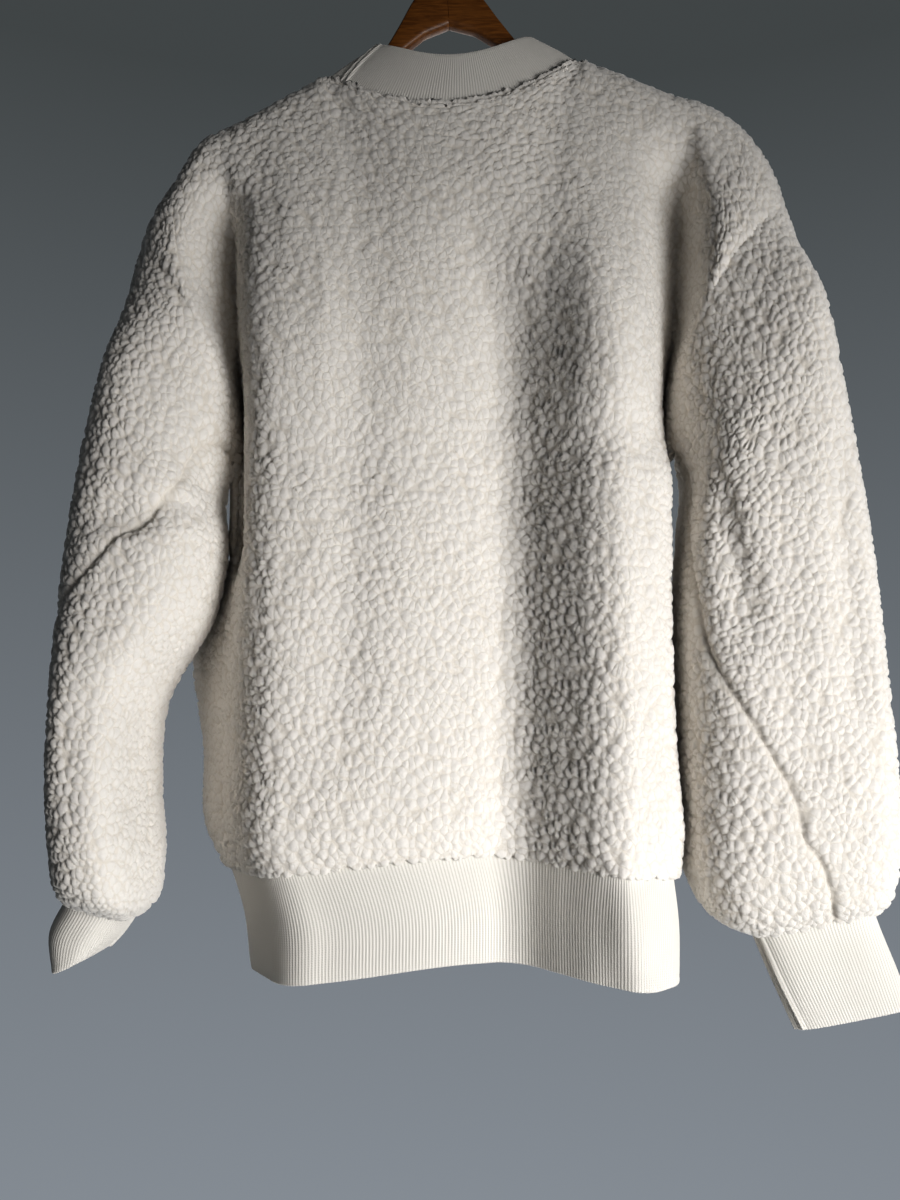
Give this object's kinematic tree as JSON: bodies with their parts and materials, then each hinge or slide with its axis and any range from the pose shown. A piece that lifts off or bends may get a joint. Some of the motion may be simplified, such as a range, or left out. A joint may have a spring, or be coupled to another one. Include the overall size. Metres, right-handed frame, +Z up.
{
  "type": "sherpa fleece pullover on a wooden hanger",
  "caption": "Sherpa fleece pullover with ribbed neckband, hem band and cuffs, hanging on a plain wooden hanger with a wire hook.",
  "frame": {"origin": "inner top of the hanger's hook, where a rail or a peg carries it", "axes": "+Z up, -Y the side that the back panel faces, +X towards sleeve_right"},
  "size_m": [0.5884, 0.1646, 0.8635],
  "materials": {
    "fleece": "cream curled sherpa pile, matt",
    "rib": "cream fine rib knit, matt",
    "wood": "honey brown varnish, glossy",
    "steel": "bright plated wire"
  },
  "bodies": {
    "root": {"back": "fleece", "front": "fleece", "sleeve_left": "fleece", "sleeve_right": "fleece", "neckband": "rib", "hem_band": "rib", "cuff_left": "rib", "cuff_right": "rib", "hanger": "wood", "hanger_hook": "steel"}
  },
  "joints": []
}
